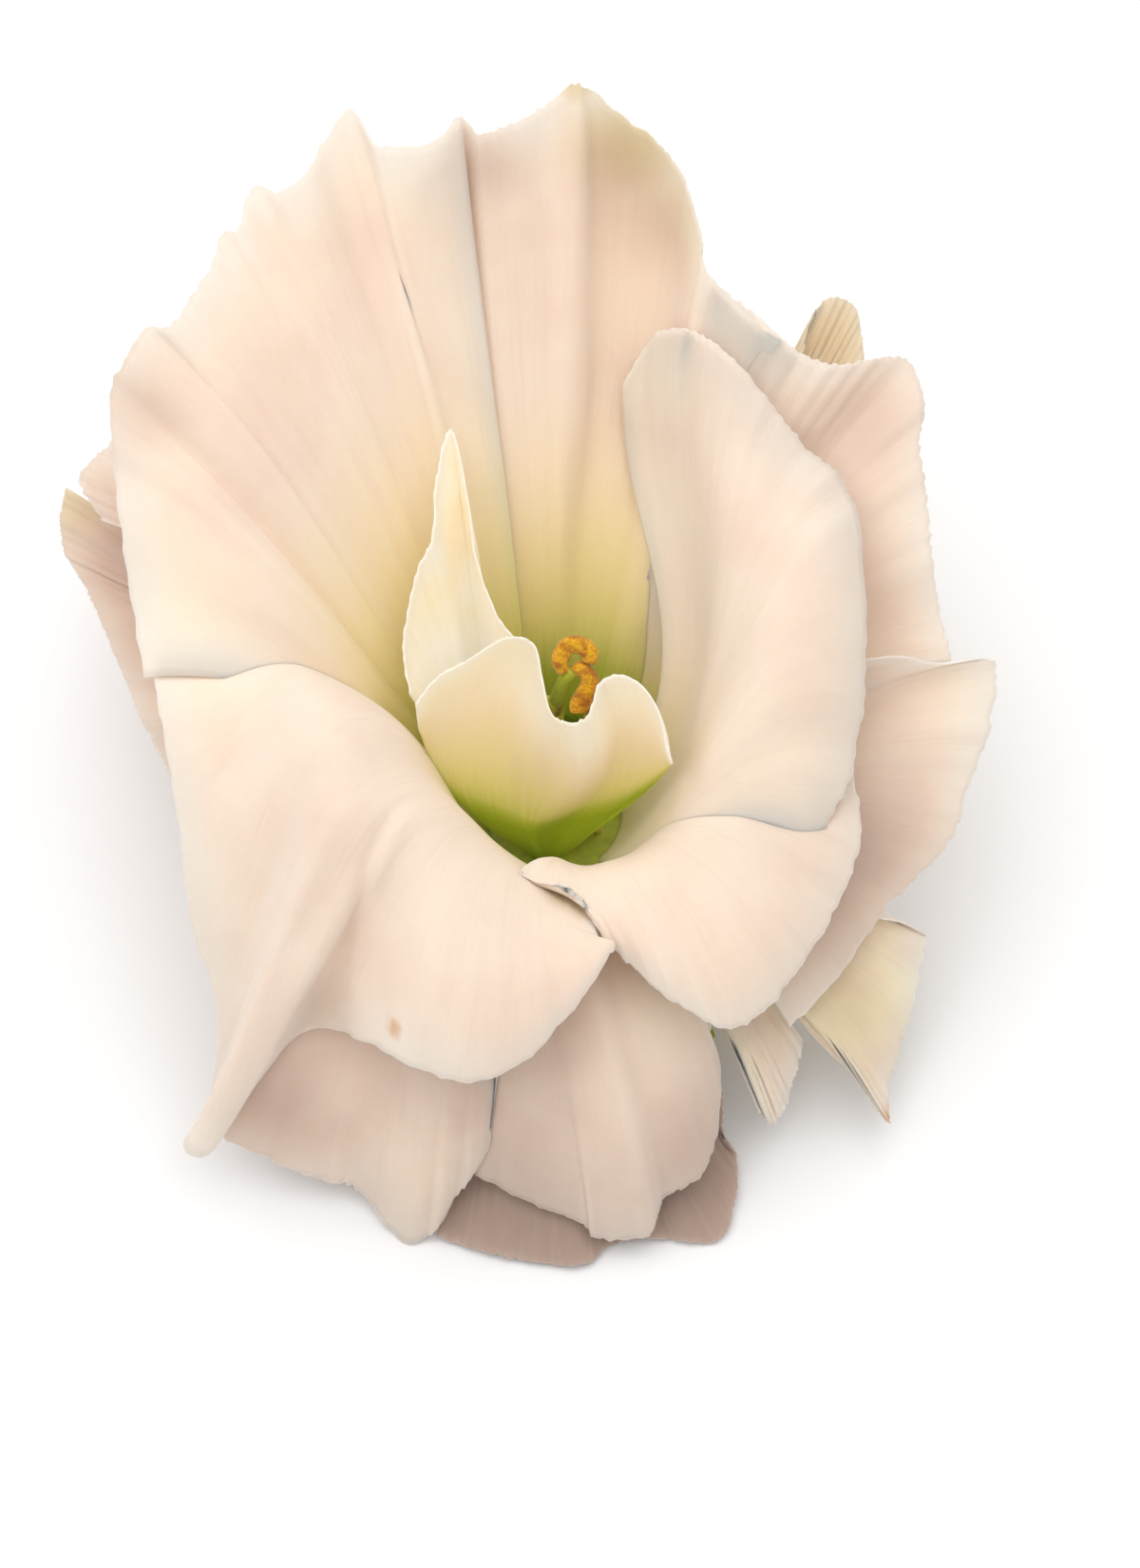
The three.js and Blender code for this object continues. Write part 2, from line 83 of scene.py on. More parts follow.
# layer: how far out its claw stands. azimuth, spread: middle and half width of the claw, degrees.
# fan: how much faster the ribs spread than the claw. rise: slope at the claw, degrees.
# belly, flare: how long each rib keeps its first and last direction, as shares of its span.
# Lists under rise, belly and flare run from the clockwise margin to the other one.
# rim: [x, y, z, slope in degrees] of the rim, in the same order.
# crest: [x, y, z, slope in degrees] of the line over which a petal turns outwards, half way along.
# ruffle, waves, phase: height, number and start of the rim's waves. crinkle: height of its crinkles.
# tuck: how far either margin lies behind its neighbour, in millimetres.
# claw: share of the length that is still claw. green: share over which the throat's greens then
# fade into cream.
# folds: [place across at the claw, place at the rim, height, half width, first and last share of
# the length]. Places across run from 0 to 1.
# browned, greened, shaded, paled: [x, y, z, size, strength] of a withered, a greenish, a
# darker and a lighter patch. The darker ones are painted shade on slopes and parts that lie in
# shadow; the lighter ones are painted light on dim slopes and shaded hollows, and painted highlights.
PETALS = {
    "petal_back": {
        "layer": 13, "azimuth": 84, "spread": 29, "fan": 1.3, "tuck": [0.4, 1],
        "rise": [50, 54, 60, 64, 66, 66, 66], "belly": [0.42],
        "flare": [0.35], "ruffle": 0.15, "waves": 3.2, "phase": 0.1, "green": 0.54,
        "rim": [
            [15.8, 21.6, 28.5, 30], [13, 23, 30, 35], [9.8, 25.7, 32, 45], [9.3, 27.3, 33.5, 60],
            [8.4, 30.2, 35.5, 80], [7.1, 32.2, 36.5, 85], [5.1, 33.5, 37.3, 85],
            [3.4, 34.3, 38, 80], [1.4, 35.6, 39, 50], [-0.6, 34.2, 38.5, 55],
            [-3, 32.8, 38.3, 60], [-4.9, 32.1, 38, 60], [-6.2, 33.3, 38.3, 60],
            [-7.3, 31.5, 37, 60], [-9, 30.5, 35, 60],
        ],
        "folds": [[0.52, 0.57, 0.5, 0.025, 0.3, 1.3]],
        "greened": [[5, 33, 36, 6.5, 0.75], [8, 30, 33, 7, 0.35], [1.4, 35.6, 39, 2, 1]],
        "shaded": [[-4.6, 31.2, 36.5, 4.5, 0.5]],
        "paled": [[15, 22, 29, 7, 0.6], [4, 27.5, 27.5, 7, 0.3]],
    },
    "petal_back_left": {
        "layer": 9, "azimuth": 141, "spread": 35, "fan": 1.25, "tuck": [0, 0.4],
        "rise": [64], "belly": [0.45], "flare": [0.35], "ruffle": 0.08, "waves": 4, "phase": 0.3,
        "crinkle": 0.06, "green": 0.65,
        "folds": [[-0.2, 0.3, -0.35, 0.05, 0.4, 0.95]],
        "paled": [[-8.5, 28.5, 34.5, 7, 0.25], [-6, 23, 28.5, 6, 0.2], [-24, 4.5, 24.5, 8, 0.7]],
        "shaded": [
            [-28.5, 16, 31, 7, 0.5], [-27.3, 17.8, 32, 1.5, 0.4],
            [-25.5, 15.7, 30.3, 1.5, 0.3],
        ],
        "rim": [
            [-6.1, 32.7, 39.2, 60], [-8, 31.3, 38.3, 55], [-10.7, 31.5, 37.6, 50],
            [-11.8, 31.8, 37.6, 45], [-13.2, 34.2, 38, 35], [-15, 32, 37.3, 45],
            [-16, 30, 37, 45], [-17.8, 28.6, 36.6, 40], [-19.5, 29.2, 36.4, 30],
            [-20.3, 26.2, 36, 35], [-21.4, 26.1, 35.6, 30], [-22.1, 24, 35, 35],
            [-23.2, 22.2, 34.5, 35], [-24.1, 20.7, 34, 30], [-25.1, 20.2, 33.5, 25],
            [-26.3, 20.5, 33, 15], [-27.6, 18.7, 32, 15], [-28.5, 17.2, 31, 20],
            [-28.4, 14.2, 30.5, 10], [-28.2, 12, 29.5, 5], [-27.7, 8.3, 28, 0],
            [-27, 4.4, 24.9, -8], [-26.2, 0.2, 23.4, -12],
        ],
    },
    "petal_left": {
        "layer": 4, "azimuth": 225, "spread": 58, "fan": 1, "rise": [62, 64, 64, 62, 60],
        "belly": [0.35], "flare": [0.35], "ruffle": 0.1, "waves": 3, "phase": 0, "green": 0.4,
        "tuck": [0.6, 0],
        "crest": [
            [-16, 4.2, 19.9, 40], [-15.2, 0.2, 23.2, 40], [-12.8, -3.6, 24.5, 40],
            [-10.9, -6.7, 23.5, 40], [-8.7, -9, 22.3, 35], [-6.3, -10.8, 20.5, 30],
            [-3.2, -12.6, 18.8, 25], [-0.2, -13.8, 17.3, 20], [2.7, -14.7, 16.4, 10],
        ],
        "rim": [
            [-26.3, 4.2, 23.2, 0], [-25, -3, 23, -10], [-23.9, -8.8, 20, -25],
            [-23.2, -13.8, 16, -40], [-21.7, -17.3, 11.5, -45], [-22.1, -21.3, 7.5, -50],
            [-22.9, -24, 5, -50], [-19.7, -21.6, 8, -50], [-16, -19, 11.5, -50],
            [-12, -21, 14, -50], [-8.6, -23.8, 15.5, -50], [-5, -24.6, 15.5, -50],
            [-1.5, -23, 16, -50], [1.2, -20.3, 17, -50], [3.3, -17.2, 17.8, -45],
            [3.9, -15.6, 17, -30],
        ],
        "folds": [
            [0.7, 0.4, 1.3, 0.04, 0.6, 1.3], [0.375, 0.6, 0.25, 0.02, 0.45, 1.2],
            [0.35, 0.57, -0.25, 0.018, 0.45, 1.2],
        ],
        "browned": [[-10.1, -21.2, 16.1, 0.9, 0.8]],
        "greened": [[0.3, -11.8, 16.1, 2.2, 0.8], [1.5, -12.4, 15.9, 2, 0.8]],
        "shaded": [[-14.8, -18.6, 12.5, 5, 0.35]],
        "paled": [[-22, 1, 23, 8, 0.25]],
    },
    "petal_front_right": {
        "layer": 7, "azimuth": 307, "spread": 24, "fan": 1, "rise": [64, 64, 62],
        "belly": [0.35], "flare": [0.35], "tuck": [0, 1],
        "crest": [
            [-2.5, -10.5, 16.8, 5], [1.2, -11.2, 16.3, 20], [3.7, -10.3, 16, 30], [6.6, -9.2, 16, 30],
            [9.8, -8, 18.3, 30], [13, -6.4, 21, 30],
        ],
        "ruffle": 0.1, "waves": 2, "phase": 0.2, "green": 0.3,
        "rim": [
            [-2.6, -10.7, 17, 0], [1, -12, 17, -20], [2.5, -13.9, 16.5, -40], [4.1, -16, 16, -40],
            [6.2, -17.8, 15.5, -45], [8.3, -19.2, 15, -45], [10.9, -20.1, 14, -45],
            [13.5, -18.7, 14.3, -45], [15.9, -16, 15.5, -40], [17.9, -12.7, 16.5, -30],
            [19.5, -9, 18.8, -25], [19, -4.2, 20, -20],
        ],
    },
    "petal_right": {
        "layer": 3, "azimuth": 345, "spread": 36, "fan": 1.1, "rise": [50, 60, 62],
        "belly": [0.5, 0.55, 0.6], "flare": [0.4], "ruffle": 0.05, "waves": 2.4, "phase": 0.4,
        "green": 0.6, "claw": -0.2, "tuck": [0, -0.25],
        "rim": [
            [16.5, -9.5, 18.5, -35], [18.9, -5.5, 21.8, -30], [19.7, 0, 25, -33],
            [19.5, 9, 26.8, -30], [18.3, 12.7, 27.3, -15], [16.1, 14.9, 27.8, 0],
            [13.9, 17.6, 28.7, 15], [11.7, 20, 29.9, 35], [9.2, 22.5, 29.6, 50],
            [6.6, 24.3, 26.9, 55], [4.4, 22.6, 23.5, 60],
        ],
        "paled": [[14, -5, 20.5, 9, 0.4], [6, 22, 26, 7, 0.5], [6, 16, 20, 7, 0.4]],
    },
    "outer_petal_back_right": {
        "layer": 16, "azimuth": 38, "spread": 24, "fan": 1.2, "rise": [58], "belly": [0.4],
        "flare": [0.4], "ruffle": 0.2, "waves": 2.6, "phase": 0.6, "green": 0.3,
        "rim": [
            [25.7, 4.1, 19, 0], [24.9, 7.2, 20.5, 0], [24.3, 10.3, 22.5, 0],
            [24, 13.6, 24.2, 0], [23.6, 16.6, 25.2, 0], [24, 19.2, 26, 5],
            [23, 22.3, 26.6, 15], [20.6, 22.1, 27.3, 20], [18.2, 21.1, 28, 25],
            [15.8, 21.4, 29, 30], [13.2, 23.4, 30, 35], [10.2, 25.6, 31, 40],
        ],
        "shaded": [[22, 19, 25.5, 9, 0.35]],
    },
    "outer_petal_right": {
        "layer": 12, "azimuth": 342, "spread": 26, "fan": 1.2, "rise": [56], "belly": [0.5],
        "flare": [0.4], "ruffle": 0.2, "waves": 3, "phase": 0.1, "green": 0.3,
        "rim": [
            [15, -17.3, 9, -40], [18.1, -14.4, 10, -35], [20.9, -10.7, 11.5, -30],
            [23.3, -8.6, 12.8, -25], [25.6, -6.1, 14, -25], [26.6, -3.4, 15.5, -20],
            [27.9, -0.7, 17, -20], [28.5, 2.9, 18.7, -10], [27.9, 3.9, 20, -5],
            [25.4, 2.6, 21, 0], [22.9, 2.3, 22, 5], [20.2, 1.8, 23.5, 10],
        ],
        "shaded": [[20, -8, 12.5, 11, 0.5]],
        "paled": [[26, 2.3, 19.5, 6, 0.35]],
    },
    "outer_petal_pointed": {
        "layer": 16, "azimuth": 322, "spread": 10, "fan": 1.2, "rise": [40], "belly": [0.4],
        "flare": [0.4], "ruffle": 0.1, "waves": 1.5, "phase": 0.1, "green": 0.3,
        "rim": [
            [16.7, -16.4, 6, -40], [19.3, -18.3, 4.2, -45], [20.8, -20, 2.8, -50],
            [21.8, -20.6, 2, -50], [21.8, -18.4, 3, -50], [22.9, -14.9, 4.5, -45],
            [24, -10.7, 7, -30], [23.8, -9.7, 8, -20], [20.5, -10.3, 11, -10],
        ],
        "browned": [[21.8, -20.6, 2, 1.6, 0.7]],
        "greened": [[19, -15, 6, 7, 0.45]],
    },
    "outer_petal_narrow": {
        "layer": 16, "azimuth": 308, "spread": 6, "fan": 1, "rise": [30], "belly": [0.4],
        "flare": [0.4], "ruffle": 0, "waves": 1, "phase": 0.1, "green": 0.3,
        "rim": [
            [13.1, -16.1, 6, -40], [13.1, -19.2, 4.6, -45], [13.4, -20.9, 3.6, -50],
            [14.2, -21.4, 3.2, -50], [15.2, -19.6, 4, -45], [16.1, -16.5, 5.5, -40],
        ],
    },
    "outer_petal_front": {
        "layer": 12, "azimuth": 276, "spread": 22, "fan": 1.2, "rise": [56], "belly": [0.65],
        "flare": [0.45], "ruffle": 0.15, "waves": 2.5, "phase": 0.7, "green": 0.3,
        "rim": [
            [-5.2, -25.2, 3.2, -55], [-1.8, -26.6, 2.4, -60], [1.7, -27.8, 1.9, -60],
            [2.8, -28.8, 1.5, -60], [6, -28.8, 1.7, -60], [6.9, -26.5, 2.6, -58],
            [9.2, -25.3, 3.4, -55], [10.6, -22.6, 5.2, -52], [10.6, -19.5, 7.3, -50],
            [9.8, -17.1, 9.2, -50],
        ],
        "shaded": [[9.5, -23.5, 4.8, 7, 0.4], [-2.2, -25.6, 3.4, 6, 0.3]],
        "paled": [[3.5, -23, 7.5, 7, 0.25], [7, -16.5, 11.3, 7, 0.5]],
    },
    "outer_petal_underneath": {
        "layer": 16, "azimuth": 272, "spread": 18, "fan": 1.2, "rise": [10], "belly": [0.45],
        "flare": [0.4], "ruffle": 0.1, "waves": 2.5, "phase": 0.7, "green": 0.3,
        "rim": [
            [-7.7, -28, 0.2, -12], [-5.2, -28.9, 0.1, -14], [-2.4, -29.6, 0, -18],
            [1.7, -30, 0, -20], [3.7, -28.5, 0, -18], [6.5, -28.1, 0, -15],
            [10.5, -28.2, -0.1, -12], [11.7, -25.3, 0.3, -12], [11.8, -22.9, 0.8, -10],
            [11, -21.6, 1.3, -10], [10.9, -18.6, 2.2, -10],
        ],
    },
    "outer_petal_front_left": {
        "layer": 9, "azimuth": 236, "spread": 24, "fan": 1.2, "rise": [58],
        "belly": [0.75, 0.75, 0.65], "flare": [0.45], "ruffle": 0.15, "waves": 4, "phase": 0.2,
        "green": 0.3,
        "rim": [
            [-22.8, -21.4, 5, -50], [-21.2, -23, 4, -50], [-18.4, -23.9, 2.9, -50],
            [-15.4, -24.7, 2, -50], [-12.9, -25.2, 1.3, -50], [-11.2, -26.9, 0.2, -52],
            [-9.4, -28.2, -0.3, -55], [-7.7, -27.9, 0.9, -55], [-6, -25.9, 3, -55],
            [-4.5, -24.4, 4.8, -55], [-4.1, -22.9, 6.5, -52], [-5.1, -21.1, 9, -50],
        ],
        "shaded": [[-19, -22, 5, 7, 0.4]],
        "paled": [[-8, -25.5, 4, 6, 0.3]],
    },
    "outer_petal_left": {
        "layer": 13, "azimuth": 170, "spread": 18, "fan": 1.2, "rise": [45], "belly": [0.4],
        "flare": [0.4], "ruffle": 0.1, "waves": 2, "phase": 0.2, "green": 0.4,
        "rim": [
            [-32.4, 18.7, 17, 10], [-32.8, 17, 16, 5], [-32.6, 15.3, 14.5, 0],
            [-31, 12.8, 13.6, -5], [-29.2, 8.7, 12.6, -8], [-27.3, 4.3, 11.2, -10],
            [-24.9, 0.4, 9, -15],
        ],
        "shaded": [[-30, 12, 14, 12, 0.3]],
        "greened": [[-32, 18, 16.5, 4, 0.6]],
    },
    "outer_petal_back_left": {
        "layer": 14, "azimuth": 130, "spread": 17, "fan": 1, "rise": [58, 50],
        "belly": [0.45, 0.4], "flare": [0.4], "ruffle": 0.2, "waves": 2, "phase": 0.2,
        "green": 0.3,
        "rim": [
            [-11, 32, 15, 0], [-20, 31, 15.5, 0], [-27, 24.5, 18, 0], [-29.5, 20, 20, 5],
            [-31.2, 16.9, 21, 10], [-29.6, 14.2, 20, 0],
        ],
    },
    "outer_petal_back": {
        "layer": 17, "azimuth": 84, "spread": 18, "fan": 1, "rise": [40], "belly": [0.4],
        "flare": [0.45], "ruffle": 0.4, "waves": 2, "phase": 0.2, "green": 0.3,
        "rim": [
            [16, 22, 9, -20], [14, 27, 4.5, -35], [6, 31.5, 0.2, -50], [0, 33, -0.3, -55],
            [-6, 32, 0, -50], [-13, 27, 4, -30], [-15, 22, 7.5, -20],
        ],
    },
    "outer_petal_top_right": {
        "layer": 20, "azimuth": 54, "spread": 8, "fan": 1.2, "rise": [50], "belly": [0.4],
        "flare": [0.4], "ruffle": 0, "waves": 2, "phase": 0.2, "green": 0.4,
        "rim": [
            [20.5, 24.6, 21, 20], [20.2, 27.3, 22.5, 25], [19.7, 28.8, 23.5, 30],
            [18.1, 29.1, 24, 35], [16.9, 27.8, 23.5, 32], [16.2, 25.5, 23, 30],
        ],
        "greened": [[18.5, 27, 23, 8, 0.5]],
        "shaded": [[18.5, 27, 23, 8, 0.4]],
    },
    "inner_petal_tall": {
        "layer": 0, "azimuth": 150, "spread": 30, "fan": 1.5, "rise": [72], "belly": [0.4],
        "flare": [0.3], "ruffle": 0.05, "waves": 1, "phase": 0.1, "green": 0.22, "crinkle": 0.05,
        "rim": [
            [-1.2, 3.9, 20, 70], [-3.5, 5.6, 21.5, 70], [-5.1, 9.2, 23.5, 65],
            [-5.7, 12.7, 25.5, 62], [-6.7, 16.4, 27.5, 60], [-7.6, 13.6, 26.5, 62],
            [-7.8, 9.8, 25.5, 65], [-8.8, 7.9, 24, 68], [-9.8, 4.4, 21.5, 70],
            [-9.4, 1.3, 19.5, 70],
        ],
    },
    "inner_petal_front": {
        "layer": 0, "azimuth": 258, "spread": 14, "fan": 4, "rise": [70], "belly": [0.35],
        "flare": [0.35], "ruffle": 0, "waves": 2, "phase": 0.1, "green": 0.56, "claw": 0.38,
        "crinkle": 0.05,
        "crest": [
            [-8.6, -0.7, 17.6, 75], [-7.1, -2, 14.1, 65], [-4.2, -2.6, 12.6, 60],
            [-1, -3.1, 11.1, 60], [2, -2.6, 12.2, 60], [5, -2.5, 13.9, 65],
            [7.4, -2.6, 17.1, 75],
        ],
        "rim": [
            [-8.9, -1.3, 22.6, 85], [-7.4, 0.2, 23.6, 95], [-5.2, 0.9, 24.8, 110],
            [-3, 1.7, 25.8, 115], [-1.4, 1.3, 25.6, 110], [-0.5, -2.1, 24.1, 105],
            [0.5, -3.2, 23.6, 105], [2, -2.8, 23.6, 105], [3, -0.8, 24.8, 110],
            [4.9, -0.8, 24.9, 110], [6.4, -2.4, 24.1, 105], [7.4, -4.8, 21.6, 85],
        ],
        # painted highlights on the rims of its two lobes
        "paled": [[-1.6, 0.7, 21.2, 3.6, 1], [6.6, -3, 22.8, 3.6, 1]],
    },
}


# ---- finishes ----
class Value:
    """A number or colour that varies over a surface. Arithmetic on numbers adds Math nodes."""

    def __init__(self, look, socket):
        self.look = look
        self.socket = socket

    def maths(self, operation, *operands):
        return self.look.node("ShaderNodeMath", {"operation": operation}, operands)

    def __add__(self, other):
        return self.maths("ADD", self, other)

    def __radd__(self, other):
        return self.maths("ADD", other, self)

    def __sub__(self, other):
        return self.maths("SUBTRACT", self, other)

    def __rsub__(self, other):
        return self.maths("SUBTRACT", other, self)

    def __mul__(self, other):
        return self.maths("MULTIPLY", self, other)

    def __rmul__(self, other):
        return self.maths("MULTIPLY", other, self)


class Look:
    """One finish: a Principled shader with its constants, and the nodes that vary it."""

    def __init__(self, name, constants):
        self.material = bpy.data.materials.new(name)
        self.material.use_nodes = True
        self.tree = self.material.node_tree
        self.shader = self.tree.nodes["Principled BSDF"]
        for socket, value in constants.items():
            self.shader.inputs[socket].default_value = value

    def node(self, kind, settings, inputs, output=0):
        made = self.tree.nodes.new(kind)
        for name, value in settings.items():
            if name == "stops":
                set_stops(made.color_ramp, value)
            else:
                setattr(made, name, value)
        pairs = inputs.items() if isinstance(inputs, dict) else enumerate(inputs)
        for key, value in pairs:
            if isinstance(value, Value):
                self.tree.links.new(value.socket, made.inputs[key])
            else:
                made.inputs[key].default_value = value
        return Value(self, made.outputs[output])

    def set(self, socket, value):
        self.tree.links.new(value.socket, self.shader.inputs[socket])

    def attribute(self, name):
        return self.node("ShaderNodeAttribute", {"attribute_name": name}, {}, "Fac")

    def place(self):
        """Place on the object, in millimetres."""
        spot = self.node("ShaderNodeTexCoord", {}, {}, "Object")
        return self.node(
            "ShaderNodeVectorMath", {"operation": "SCALE"}, {0: spot, "Scale": 1 / MM}
        )

    def vector(self, x, y, z):
        return self.node("ShaderNodeCombineXYZ", {}, (x, y, z))

    def noise(self, place, scale, detail=3.0, roughness=0.5):
        return self.node(
            "ShaderNodeTexNoise",
            {},
            {"Vector": place, "Scale": scale, "Detail": detail, "Roughness": roughness},
            "Fac",
        )

    def ramp(self, share, stops):
        """Colour or grey at a share of the way through the stops: [(place, colour), ...]."""
        return self.node("ShaderNodeValToRGB", {"stops": stops}, (share,))

    def span(self, value, low, high):
        """0 below low, 1 above high, and smooth between."""
        return self.node(
            "ShaderNodeMapRange",
            {"interpolation_type": "SMOOTHSTEP"},
            {"Value": value, "From Min": low, "From Max": high},
        )

    def mix(self, share, first, second):
        settings = {"data_type": "RGBA", "clamp_factor": True}
        return self.node("ShaderNodeMix", settings, {0: share, 6: first, 7: second}, 2)

    def bump(self, height, distance, strength):
        inputs = {"Height": height, "Distance": distance, "Strength": strength}
        self.set("Normal", self.node("ShaderNodeBump", {}, inputs))


def set_stops(ramp, stops):
    ramp.interpolation = "B_SPLINE"
    while len(ramp.elements) < len(stops):
        ramp.elements.new(1.0)
    for element, (place, colour) in zip(ramp.elements, stops):
        element.position = place
        element.color = colour


def linear(red, green, blue):
    """A colour given as the eye reads it, 0 to 255, in the linear values that shaders take."""
    return (*(((c / 255 + 0.055) / 1.055) ** 2.4 for c in (red, green, blue)), 1.0)


CREAM = linear(237, 221, 206)
# partly painted light: a little paler than the inner petals' own cream, so that, shaded deep in the
# throat, they read as bright
INNER_CREAM_AND_PAINTED_LIGHT = linear(253, 246, 234)
BLUSH = linear(231, 212, 197)
SHADOW_BLUSH = linear(217, 196, 182)
# painted shade: the tone of the darker patches, and of the petal that lies underneath the others
SHADE = linear(176, 154, 142)
# painted light: the tone of the lighter patches, which light dim slopes and shaded hollows and paint
# highlights
PAINTED_LIGHT_TONE = linear(255, 238, 218)
IVORY = linear(239, 223, 192)
PALE_IVORY = linear(248, 234, 208)
PALE_LIME = linear(232, 218, 168)
LIME = linear(220, 212, 128)
LEAF_GREEN = linear(172, 182, 54)
THROAT_GREEN = linear(144, 164, 20)
DEEP_GREEN = linear(62, 90, 14)
GREENISH_BEIGE = linear(192, 174, 132)
DRY_BROWN = linear(190, 130, 70)
CALYX_GREEN = linear(96, 122, 40)
CUT_GREEN = linear(190, 200, 130)
POLLEN_YELLOW = linear(222, 170, 40)
STIGMA_ORANGE = linear(228, 170, 20)
# painted shade: the red-brown of the stigma's shaded crevices, laid between its grains and in random
# patches
STIGMA_SHADE_RED = linear(172, 106, 8)

# The throat's colours, and where each lies as a share of its length.
THROAT = [
    (0.0, THROAT_GREEN), (0.14, LEAF_GREEN), (0.26, LIME), (0.43, PALE_LIME), (0.68, IVORY),
]

PETAL_TISSUE = {
    "Roughness": 0.62,
    "IOR": 1.38,
    "Specular IOR Level": 0.25,
    "Subsurface Weight": 1.0,
    "Subsurface Radius": (1.0, 0.97, 0.94),
    "Subsurface Scale": 0.0005,
    "Sheen Weight": 0.1,
    "Sheen Roughness": 0.5,
}
# painted glow: a faint emission makes the inner petals glow as if lit through the bloom
PAINTED_GLOW_TISSUE = PETAL_TISSUE | {"Emission Strength": 0.07}
GREEN_TISSUE = {
    "Roughness": 0.5,
    "IOR": 1.4,
    "Specular IOR Level": 0.35,
    "Subsurface Weight": 0.6,
    "Subsurface Radius": (0.5, 1.0, 0.2),
    "Subsurface Scale": 0.0006,
}
GRAINY_TISSUE = {"Roughness": 0.7, "Specular IOR Level": 0.3, "Sheen Weight": 0.2}

# What the patches in PETALS turn a petal's colour to, one after the other.
PATCH_TONES = {"shaded": SHADE, "paled": PAINTED_LIGHT_TONE, "greened": GREENISH_BEIGE, "browned": DRY_BROWN}

# How often each kind of variation comes: in half a petal's width, or half way round a rod,
STREAKS = 30
VEINS = 75
STRIPES = 24
# and in a millimetre.
CLOUDS = 0.14
CELLS = 1.6
MOTTLES = 0.9
HOLLOWS = 1.3
SEED_STEP = 7.3  # from the streaks and veins of one petal to those of the next


def petal_look(name, body, margin, tissue=PETAL_TISSUE):
    """Petal tissue: a green claw, a lime and ivory throat, and a creamy blade that blushes."""
    look = Look(name, tissue)
    along, across, seed = (look.attribute(n) for n in ("along", "across", "seed"))
    streaks = look.noise(look.vector(across * STREAKS, along * 2.2, seed), 1.0, 4.0, 0.6)
    place = look.place()
    clouds = look.noise(place, CLOUDS, 3.0, 0.55)
    blade = look.mix(look.span(along * 0.6 + clouds, 0.75, 1.2), body, margin)
    blade = look.mix(look.span(streaks, 0.48, 0.8) * 0.22, blade, SHADOW_BLUSH)
    depth = look.attribute("throat") + (streaks - 0.5) * 0.1
    throat = look.ramp(depth, THROAT)
    colour = look.mix(look.span(depth, 0.45, 1.05), throat, blade)
    # Patches of wither, green, painted shade and painted light, laid on one after the other.
    for patch, tone in PATCH_TONES.items():
        colour = look.mix(look.attribute(patch), colour, tone)
    look.set("Base Color", colour)
    # painted glow: the emission takes the petal's own colour
    if "Emission Strength" in tissue:
        look.set("Emission Color", colour)
    veins = look.noise(look.vector(across * VEINS, along * 3.0, seed), 1.0, 3.0, 0.55)
    cells = look.noise(place, CELLS, 4.0)
    look.bump(veins * 0.6 + streaks * 0.6 + cells * 0.3, 0.00012, 0.5)
    return look.material


def green_look(name, near, far, end=None):
    """Green tissue that changes from its foot to its top, with faint stripes along it."""
    look = Look(name, GREEN_TISSUE)
    along, across = look.attribute("along"), look.attribute("across")
    stripes = look.noise(look.vector(across * STRIPES, along * 3, 0.0), 1.0, 3.0)
    mottle = look.noise(look.place(), MOTTLES, 4.0)
    stops = [(0.0, near), (0.7, far)]
    if end:
        stops.append((0.84, end))
    colour = look.ramp(along + (stripes - 0.5) * 0.2, stops)
    colour = look.mix(look.span(mottle, 0.4, 0.8) * 0.35, colour, DEEP_GREEN)
    look.set("Base Color", colour)
    look.bump(stripes + mottle * 0.6, 0.0001, 0.6)
    return look.material


def grainy_look(name, base, hollow, grain):
    """A surface of fine grains, such as pollen or a stigma's papillae, grain to the millimetre."""
    look = Look(name, GRAINY_TISSUE)
    place = look.place()
    bumps = look.node(
        "ShaderNodeTexVoronoi", {"feature": "F1"}, {"Vector": place, "Scale": grain}, "Distance"
    )
    colour = look.mix(look.span(look.noise(place, HOLLOWS, 3.0), 0.4, 0.65), base, hollow)
    look.set("Base Color", look.mix(look.span(bumps, 0.3, 0.8) * 0.5, colour, hollow))
    look.bump(1 - bumps, 0.00012, 0.8)
    return look.material


# ---- meshes ----
def piece(name, node, points, faces, material, values):
    """A piece of the bloom from points in millimetres, standing for a node of the part.

    values: numbers for its material at each point, such as its place along and across the piece.
    """
    mesh = bpy.data.meshes.new(name)
    mesh.from_pydata((np.asarray(points) * MM + AXIS_FOOT).tolist(), [], faces)
    mesh.polygons.foreach_set("use_smooth", [True] * len(mesh.polygons))
    for key, numbers in values.items():
        layer = mesh.attributes.new(key, "FLOAT", "POINT")
        layer.data.foreach_set("value", np.asarray(numbers, np.float32).ravel())
    mesh.materials.append(material)
    made = bpy.data.objects.new(name, mesh)
    bpy.context.scene.collection.objects.link(made)
    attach(made, "root")
    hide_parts(node)


def smooth_across(rows, across):
    """Rows spread evenly from -1 to 1, read at places across as one smooth curve."""
    points = np.asarray(rows, float)
    last = len(points) - 1
    ghosts = np.vstack([2 * points[0] - points[1], points, 2 * points[-1] - points[-2]])
    place = (across + 1) / 2 * last
    row = np.clip(np.floor(place).astype(int), 0, last - 1)
    f = (place - row)[:, None]
    a, b, c, d = (ghosts[row + i] for i in range(4))
    return 0.5 * (
        2 * b + (c - a) * f + (2 * a - 5 * b + 4 * c - d) * f**2 + (3 * b - a - 3 * c + d) * f**3
    )


def linear_across(values, across):
    """Values spread evenly from -1 to 1, or a single one, read at places across."""
    if len(values) == 1:
        return values[0] + 0 * across
    return np.interp(across, np.linspace(-1, 1, len(values)), values)


def heading(azimuth, slope):
    """Direction at an azimuth and a slope, in radians."""
    flat = np.cos(slope)
    return np.stack([np.cos(azimuth) * flat, np.sin(azimuth) * flat, np.sin(slope)], -1)


def lengths(ways):
    return np.linalg.norm(ways, axis=1)[:, None]


